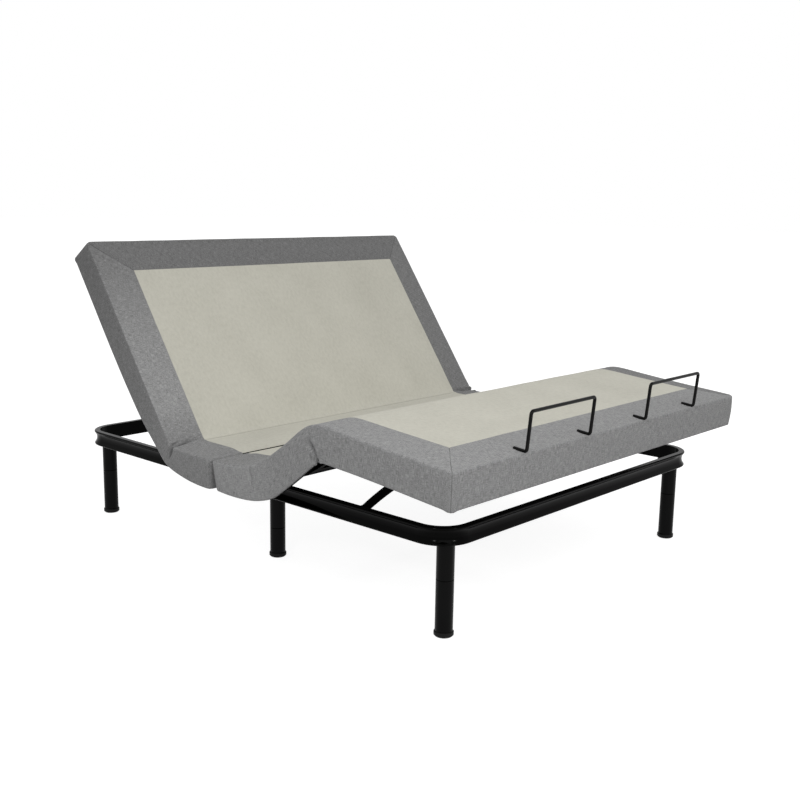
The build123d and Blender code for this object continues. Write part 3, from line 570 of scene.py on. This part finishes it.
class Tray:
    """A cover drawn flat: top grid, rolled edges, skirts, hem and inside of the skirts."""

    def __init__(self, outline, seams, border, edge_roll, split_roll, fine):
        self.outline = outline
        self.seams = seams
        self.x = across_lines(seams)
        self.s = along_lines(outline.length, border, fine)
        self.border = border
        self.deck = []
        self.flat = []
        self.row = []
        self.seam = []
        self.faces = []
        self.panels = []
        self.uv = []
        self.grid()
        self.rings(edge_roll, split_roll)

    def vertex(self, place, laid, row, seam):
        self.deck.append(place)
        self.flat.append(laid)
        self.row.append(row)
        self.seam.append(seam)
        return len(self.deck) - 1

    def mitre_distance(self, x, s):
        """How far a place on the top is from the seam in the nearer end corner."""
        width = GRID_HALF - abs(self.seams[0] if x < 0 else self.seams[1])
        across = (GRID_HALF - abs(x)) / width
        along = (self.outline.length - INSET - s) / (self.border - INSET)
        if max(across, along) > 1:
            return FAR_FROM_SEAM
        return abs(across - along) * width

    def wall_distance(self, x, s, out, dx, ds):
        """How far a place over the edge is from the seam down the nearer end corner."""
        if ds < 0:
            return FAR_FROM_SEAM
        if dx and ds:
            return 0.0
        if dx:
            return self.outline.length - INSET + out - s
        return GRID_HALF + out - abs(x)

    def face(self, corners, panel):
        if self.outline.backwards:
            corners = corners[::-1]
        self.faces.append(corners)
        self.panels.append(panel)
        turned = panel.startswith(("left", "right"))
        for corner in corners:
            x, s = self.flat[corner]
            self.uv.append((s * MM, x * MM) if turned else (x * MM, s * MM))

    def grid(self):
        columns = len(self.x)
        self.index = np.empty((len(self.s), columns), int)
        for j, s in enumerate(self.s):
            for i, x in enumerate(self.x):
                self.index[j, i] = self.vertex((x, s, 0.0), (x, s), 0, self.mitre_distance(x, s))
        cells = len(BORDER_SHARES) - 1
        last_i = columns - 2
        last_j = len(self.s) - 2
        for j in range(last_j + 1):
            for i in range(last_i + 1):
                here = self.index[j]
                beyond = self.index[j + 1]
                quad = [here[i], here[i + 1], beyond[i + 1], beyond[i]]
                edge = min(i, last_i - i)
                end = last_j - j
                side = "left" if i < columns / 2 else "right"
                if edge >= cells and end >= cells:
                    self.face(quad, "felt")
                elif edge < end:
                    self.face(quad, side)
                elif edge > end:
                    self.face(quad, "end")
                elif side == "left":
                    self.face([quad[0], quad[1], quad[3]], side)
                    self.face([quad[1], quad[2], quad[3]], "end")
                else:
                    self.face([quad[0], quad[1], quad[2]], side)
                    self.face([quad[0], quad[2], quad[3]], "end")

    def rings(self, edge_roll, split_roll):
        last_i = len(self.x) - 1
        last_j = len(self.s) - 1
        around = [(0, i, 0, -1) for i in range(1, last_i)]
        around += [(j, last_i, 1, 0) for j in range(1, last_j)]
        around += [(last_j, i, 0, 1) for i in range(last_i - 1, 0, -1)]
        around += [(j, 0, -1, 0) for j in range(last_j - 1, 0, -1)]
        around.insert(0, (0, 0, -1, -1))
        around.insert(last_i, (0, last_i, 1, -1))
        around.insert(last_i + last_j, (last_j, last_i, 1, 1))
        around.insert(2 * last_i + last_j, (last_j, 0, -1, 1))
        loops = []
        for j, i, dx, ds in around:
            roll = edge_roll
            if ds < 0:
                roll = split_roll if dx == 0 else (split_roll + edge_roll) / 2
            shallow = ds < 0 and abs(self.x[i]) < SPLIT_SKIRT_FROM
            rows = ring_rows(roll, SPLIT_DEPTH if shallow else DEPTH)
            if dx and ds > 0:
                rows = [pulled_corner(*row, CORNER_PULL[dx]) for row in rows]
            loop = [self.index[j, i]]
            run = 0.0
            before = (0.0, 0.0)
            for number, (out, down) in enumerate(rows):
                run += math.hypot(out - before[0], down - before[1])
                before = (out, down)
                x = self.x[i]
                s = self.s[j]
                place = (x + dx * out, s + ds * out, down)
                laid = (x + dx * run, s + ds * run)
                seam = self.wall_distance(x, s, out, dx, ds)
                loop.append(self.vertex(place, laid, number + 1, seam))
            loops.append(loop)
        total = len(loops)
        for k in range(total):
            here = loops[k]
            there = loops[(k + 1) % total]
            j, i, dx, ds = around[k]
            next_dx, next_ds = around[(k + 1) % total][2:]
            shared_x = dx if dx == next_dx else 0
            shared_s = ds if ds == next_ds else 0
            if shared_x:
                panel = "left" if shared_x < 0 else "right"
            elif shared_s > 0:
                panel = "end"
            else:
                middle = (self.x[i] + self.x[around[(k + 1) % total][1]]) / 2
                on_felt = self.seams[0] < middle < self.seams[1]
                panel = "felt" if on_felt else ("left" if middle < 0 else "right")
            for a in range(len(here) - 1):
                part = panel
                if a >= WALL_ROW and panel != "felt":
                    part = panel + "_wall"
                # Inside the skirts the cloth is the black lining; on the felt's wall in the split gap the
                # black lining is a dark sheet put in as painted shade for the gap
                if a >= LINING_ROW or (part == "felt" and a >= GAP_ROW):
                    part = "lining"
                self.face([here[a], here[a + 1], there[a + 1], there[a]], part)
        inner = {(j, i): loop[-1] for (j, i, dx, ds), loop in zip(around, loops)}
        near_end = [inner[0, i] for i in range(last_i, -1, -1)]
        self.face(near_end + [inner[1, 0], inner[1, last_i]], "lining")
        for j in range(1, last_j - 1):
            self.face([inner[j, 0], inner[j + 1, 0], inner[j + 1, last_i], inner[j, last_i]], "lining")
        far_end = [inner[last_j, i] for i in range(last_i + 1)]
        self.face(far_end + [inner[last_j - 1, last_i], inner[last_j - 1, 0]], "lining")

    def build(self, name, materials, flat_at=()):
        """The cover as a mesh object with its cloth layout kept. It is less crowned at some places."""
        deck = np.array(self.deck)
        rows = np.array(self.row)
        lift = CROWN * bulge((GRID_HALF - np.abs(deck[:, 0])) / CROWN_REACH)
        lift *= bulge((self.outline.length - INSET - deck[:, 1]) / END_CROWN_REACH)
        lift *= bulge((deck[:, 1] - INSET) / SPLIT_CROWN_REACH)
        for station in flat_at:
            lift *= 1 - FLAT_SHARE * np.exp(-(((deck[:, 1] - station) / FLAT_REACH) ** 2))
        lift[rows > 0] = 0.0
        shaped = deck.copy()
        shaped[:, 2] -= lift
        mesh = bpy.data.meshes.new(name)
        mesh.from_pydata(self.outline.place(shaped).tolist(), [], self.faces)
        order = list(materials)
        for panel in order:
            mesh.materials.append(materials[panel])
        mesh.polygons.foreach_set("material_index", [order.index(panel) for panel in self.panels])
        layer = mesh.uv_layers.new(name="weave")
        layer.data.foreach_set("uv", np.array(self.uv, np.float32).ravel())
        kept = mesh.attributes.new("deck", "FLOAT_VECTOR", "POINT")
        kept.data.foreach_set("vector", deck.astype(np.float32).ravel())
        laid = np.column_stack([np.array(self.flat), rows])
        marks = mesh.attributes.new("laid", "FLOAT_VECTOR", "POINT")
        marks.data.foreach_set("vector", laid.astype(np.float32).ravel())
        seams = mesh.attributes.new("seam", "FLOAT", "POINT")
        seams.data.foreach_set("value", np.array(self.seam, np.float32))
        # Amount of painted shade in the folds, filled in by fold()
        mesh.attributes.new("painted_fold_shade", "FLOAT", "POINT")
        mesh.update()
        obj = bpy.data.objects.new(name, mesh)
        bpy.context.scene.collection.objects.link(obj)
        return obj


def coordinates(mesh):
    points = np.empty(len(mesh.vertices) * 3, np.float32)
    mesh.vertices.foreach_get("co", points)
    return points.reshape(-1, 3).astype(float)


def set_coordinates(mesh, points):
    mesh.vertices.foreach_set("co", points.astype(np.float32).ravel())
    mesh.update()


def point_values(mesh, name):
    values = np.empty(len(mesh.vertices) * 3, np.float32)
    mesh.attributes[name].data.foreach_get("vector", values)
    return values.reshape(-1, 3).astype(float)


def point_numbers(mesh, name):
    values = np.empty(len(mesh.vertices), np.float32)
    mesh.attributes[name].data.foreach_get("value", values)
    return values


def push_in(mesh, depth):
    """Moves each point of a mesh inwards, square to the surface."""
    normals = np.empty(len(mesh.vertices) * 3, np.float32)
    mesh.vertex_normals.foreach_get("vector", normals)
    set_coordinates(mesh, coordinates(mesh) - normals.reshape(-1, 3) * depth[:, None])


def swell(obj, seams, seam_s):
    """Cloth under pressure, held at the hem and the seams, so that the padding fills it."""
    mesh = obj.data
    start = coordinates(mesh)
    deck = point_values(mesh, "deck")
    rows = point_values(mesh, "laid")[:, 2]

    def within(margin):
        across = (deck[:, 0] > seams[0] - margin) & (deck[:, 0] < seams[1] + margin)
        return across & (deck[:, 1] < seam_s + margin)

    hold = np.zeros(len(start))
    hold[(rows == 0) & within(SEAM_MARGIN) & ~within(-SEAM_MARGIN)] = SEAM_HOLD
    hold[(rows > 0) & (rows < HEM_ROW)] = WALL_HOLD
    hold[rows >= HEM_ROW] = 1.0
    group = obj.vertex_groups.new(name="held")
    for index in np.nonzero(hold)[0]:
        group.add([int(index)], float(hold[index]), "REPLACE")
    cloth = obj.modifiers.new("cloth", "CLOTH")
    settings = cloth.settings
    for name, value in CLOTH.items():
        setattr(settings, name, value)
    settings.use_pressure = True
    settings.uniform_pressure_force = SWELL_PRESSURE
    settings.vertex_group_mass = "held"
    settings.effector_weights.gravity = 0
    cloth.collision_settings.use_collision = False
    cloth.point_cache.frame_start = 1
    cloth.point_cache.frame_end = SWELL_FRAMES
    scene = bpy.context.scene
    for frame in range(1, SWELL_FRAMES + 1):
        scene.frame_set(frame)
    graph = bpy.context.evaluated_depsgraph_get()
    swollen = coordinates(obj.evaluated_get(graph).data)
    move = swollen - start
    size = np.linalg.norm(move, axis=1)
    keep = np.minimum(1.0, SWELL_CAP / np.maximum(size, LEAST_MOVE))
    obj.modifiers.remove(cloth)
    obj.vertex_groups.remove(group)
    set_coordinates(mesh, start + move * keep[:, None])
    scene.frame_set(1)


def subdivide(obj):
    """One smooth subdivision, made part of the mesh."""
    modifier = obj.modifiers.new("smooth", "SUBSURF")
    modifier.levels = 1
    modifier.render_levels = 1
    graph = bpy.context.evaluated_depsgraph_get()
    shaped = obj.evaluated_get(graph)
    mesh = bpy.data.meshes.new_from_object(shaped, preserve_all_data_layers=True, depsgraph=graph)
    obj.modifiers.remove(modifier)
    old = obj.data
    mesh.name = old.name
    obj.data = mesh
    bpy.data.meshes.remove(old)
    for polygon in mesh.polygons:
        polygon.use_smooth = True


def split_at(obj, place, name):
    """Cuts a cover at one place along the bed and gives back the far piece."""
    mesh = obj.data
    deck = point_values(mesh, "deck")
    far = []
    for polygon in mesh.polygons:
        far.append(np.mean([deck[v][1] for v in polygon.vertices]) > place)
    twin = obj.copy()
    twin.data = mesh.copy()
    twin.name = name
    twin.data.name = name
    bpy.context.scene.collection.objects.link(twin)
    for target, wanted in ((obj, False), (twin, True)):
        work = bmesh.new()
        work.from_mesh(target.data)
        work.faces.ensure_lookup_table()
        gone = [face for face in work.faces if far[face.index] != wanted]
        bmesh.ops.delete(work, geom=gone, context="FACES")
        work.to_mesh(target.data)
        work.free()
    return twin


def fold(obj, path, width, side):
    """Presses a fold into a cover, along a path in millimetres on the laid cloth, and stores painted shade
    along it.
    """
    mesh = obj.data
    laid = point_values(mesh, "laid")
    along = laid[:, 1]
    over = laid[:, 0] * side - GRID_HALF
    outside = (laid[:, 2] <= LINING_ROW) & (laid[:, 0] * side > 0)
    nearest = np.full(len(laid), np.inf)
    depth = np.zeros(len(laid))
    for (s0, v0, d0), (s1, v1, d1) in zip(path[:-1], path[1:]):
        run = np.array([s1 - s0, v1 - v0])
        t = np.clip(((along - s0) * run[0] + (over - v0) * run[1]) / (run @ run), 0, 1)
        gap = np.hypot(along - s0 - run[0] * t, over - v0 - run[1] * t)
        closer = gap < nearest
        nearest = np.where(closer, gap, nearest)
        depth = np.where(closer, d0 + (d1 - d0) * t, depth)
    ratio = nearest / width
    press = depth * (np.exp(-ratio) - FOLD_RIM * np.exp(-((ratio - FOLD_RIM_AT) ** 2)))
    # Painted shade along the fold, strongest on its line
    dark = np.exp(-((ratio / FOLD_SHADE_WIDTH) ** 2)) * np.minimum(depth / FOLD_SHADE_DEPTH, FOLD_SHADE_MOST)
    press[~outside] = 0.0
    dark[~outside] = 0.0
    painted_fold_shade = np.maximum(point_numbers(mesh, "painted_fold_shade"), dark)
    mesh.attributes["painted_fold_shade"].data.foreach_set("value", painted_fold_shade.astype(np.float32))
    push_in(mesh, press * MM)


def press_folds(cover, bend, folds):
    """Folds and pinches where a cover bends, with painted shade in them, the same on both sides."""
    for side in (-1, 1):
        for width, path in folds:
            fold(cover, [(bend + s, over, depth) for s, over, depth in path], width, side)


def sink_seams(obj):
    """Draws the stitched mitres in a little."""
    distance = point_numbers(obj.data, "seam")
    push_in(obj.data, SEAM_SINK * np.exp(-distance / SEAM_SOFTNESS))


def ripple(obj):
    """Slight unevenness of cloth over padding."""
    mesh = obj.data
    rows = point_values(mesh, "laid")[:, 2]
    height = np.array([noise.noise(Vector(point) / RIPPLE_LENGTH) for point in coordinates(mesh)])
    height[rows > HEM_ROW] = 0.0
    push_in(mesh, -height * RIPPLE)


def stretch_about(place, reach):
    """A stretch of cloth from before a place to after it."""
    return place + reach[0], place + reach[1]


def make_covers(back_line, legs_line, back_cloths, legs_cloths):
    """The two covers of the deck, the second cut where one joint hands over to the next."""
    crease = back_line.knots[BACK_CREASE_STATION]
    thigh = legs_line.knots[THIGH_CREASE_STATION]
    knee = legs_line.knots[KNEE_STATION]
    back_fine = [stretch_about(crease, BACK_FINE)]
    legs_fine = [stretch_about(thigh, THIGH_FINE), stretch_about(knee, KNEE_FINE)]
    back_tray = Tray(back_line, BACK_SEAMS, HEAD_BORDER, BACK_ROLL, SPLIT_ROLL, back_fine)
    legs_tray = Tray(legs_line, LEGS_SEAMS, FOOT_BORDER, LEGS_ROLL, SPLIT_ROLL, legs_fine)
    back_cover = back_tray.build("back_cover", back_cloths)
    legs_cover = legs_tray.build("thigh_cover", legs_cloths, [knee])
    for cover, tray in ((back_cover, back_tray), (legs_cover, legs_tray)):
        swell(cover, tray.seams, tray.outline.length - tray.border)
        subdivide(cover)
        ripple(cover)
        sink_seams(cover)
    press_folds(back_cover, crease, BACK_FOLDS)
    press_folds(legs_cover, thigh, THIGH_FOLDS)
    press_folds(legs_cover, knee, KNEE_FOLDS)
    foot_cover = split_at(legs_cover, legs_line.knots[THIGH_CUT_STATION], "foot_cover")
    return back_cover, legs_cover, foot_cover


# Studio


def add_floor():
    """A pale floor that looks white and keeps the object's shadow."""
    mesh = bpy.data.meshes.new("floor")
    square = [(x * FLOOR_REACH, y * FLOOR_REACH, 0) for x, y in ((-1, -1), (1, -1), (1, 1), (-1, 1))]
    mesh.from_pydata(square, [], [(0, 1, 2, 3)])
    floor = bpy.data.objects.new("floor", mesh)
    bpy.context.scene.collection.objects.link(floor)
    material = bpy.data.materials.new("floor")
    material.use_nodes = True
    tree = material.node_tree
    tree.nodes.clear()
    output = tree.nodes.new("ShaderNodeOutputMaterial")
    matt = tree.nodes.new("ShaderNodeBsdfDiffuse")
    matt.inputs[0].default_value = even(FLOOR_TONE)
    glow = tree.nodes.new("ShaderNodeEmission")
    join = tree.nodes.new("ShaderNodeAddShader")
    level = tree.nodes.new("ShaderNodeMath")
    level.operation = "MULTIPLY"
    level.inputs[1].default_value = FLOOR_GLOW
    tree.links.new(seen_rays(tree), level.inputs[0])
    tree.links.new(level.outputs[0], glow.inputs[1])
    tree.links.new(matt.outputs[0], join.inputs[0])
    tree.links.new(glow.outputs[0], join.inputs[1])
    tree.links.new(join.outputs[0], output.inputs[0])
    mesh.materials.append(material)


def add_sky():
    """An even sky that looks white."""
    world = bpy.data.worlds.new("world")
    bpy.context.scene.world = world
    world.use_nodes = True
    tree = world.node_tree
    sky = tree.nodes["Background"]
    sky.inputs[0].default_value = even(1)
    level = tree.nodes.new("ShaderNodeMapRange")
    level.inputs["To Min"].default_value = SKY_LEVEL
    level.inputs["To Max"].default_value = 1.0
    tree.links.new(seen_rays(tree), level.inputs["Value"])
    tree.links.new(level.outputs[0], sky.inputs[1])


def add_lamps():
    """One large soft lamp and two small ones."""
    for name, size, energy, location in LAMPS:
        lamp = bpy.data.lights.new(name, "AREA")
        lamp.shape = "SQUARE"
        lamp.size = size
        lamp.energy = energy
        place = bpy.data.objects.new(name, lamp)
        bpy.context.scene.collection.objects.link(place)
        place.location = location
        aim = LAMP_AIM - place.location
        place.rotation_euler = aim.to_track_quat("-Z", "Y").to_euler()


def seen_rays(tree):
    """1 for camera, mirror and glass rays, so that they see a white room."""
    path = tree.nodes.new("ShaderNodeLightPath")
    first = tree.nodes.new("ShaderNodeMath")
    first.operation = "MAXIMUM"
    second = tree.nodes.new("ShaderNodeMath")
    second.operation = "MAXIMUM"
    tree.links.new(path.outputs["Is Camera Ray"], first.inputs[0])
    tree.links.new(path.outputs["Is Glossy Ray"], first.inputs[1])
    tree.links.new(first.outputs[0], second.inputs[0])
    tree.links.new(path.outputs["Is Transmission Ray"], second.inputs[1])
    return second.outputs[0]


def finish_nodes(nodes):
    """Procedural finishes for the CAD pieces that stay."""
    finishes = {slot: coated(slot + "_finish", *values) for slot, values in COATED.items()}
    finishes["board_wood"] = plywood("board_wood_finish")
    finishes["pin_steel"] = steel("pin_steel_finish")
    for node in nodes.values():
        for index, material in enumerate(node.data.materials):
            key = material.name.split(".")[0]
            if key in finishes:
                node.data.materials[index] = finishes[key]


def cover_cloths(name, field, lining, tones, drifts):
    """The cloths of one cover, by panel."""
    cloths = {"felt": field, "lining": lining}
    for panel, level in tones.items():
        cloths[panel] = linen(name + "_linen_" + panel + "_finish", level, drifts.get(panel, ()))
    return cloths


def corners(box):
    return [list(box[0]), list(box[1])]


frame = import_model()
add_camera()
add_floor()
add_sky()
add_lamps()
bpy.context.scene.view_settings.view_transform = "Standard"
finish_nodes(frame["nodes"])
back_line = Outline(BACK_TOP, BACK_LOW)
legs_line = Outline(LEGS_TOP, LEGS_LOW)
lining = coated("lining_finish", *LINING)
back_felt = felt("back_felt_finish", BACK_FELT, back_line.knots[BACK_CREASE_STATION] + FELT_FOLD)
legs_felt = felt("legs_felt_finish", LEGS_FELT)
back_cloths = cover_cloths("back", back_felt, lining, BACK_LINEN, BACK_PAINTED_LIGHT_DRIFT)
legs_cloths = cover_cloths("legs", legs_felt, lining, LEGS_LINEN, LEGS_PAINTED_LIGHT_DRIFT)
back_cover, thigh_cover, foot_cover = make_covers(back_line, legs_line, back_cloths, legs_cloths)
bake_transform(back_cover)
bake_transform(thigh_cover)
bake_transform(foot_cover)
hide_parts("seat_head_pad", "seat_head_skirts", "back_pad", "back_side_skirts",
            "back_head_skirt")
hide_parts("seat_foot_pad", "seat_foot_skirts")
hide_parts("thigh_pad", "thigh_skirts", "foot_pad", "foot_side_skirts", "foot_end_skirt")
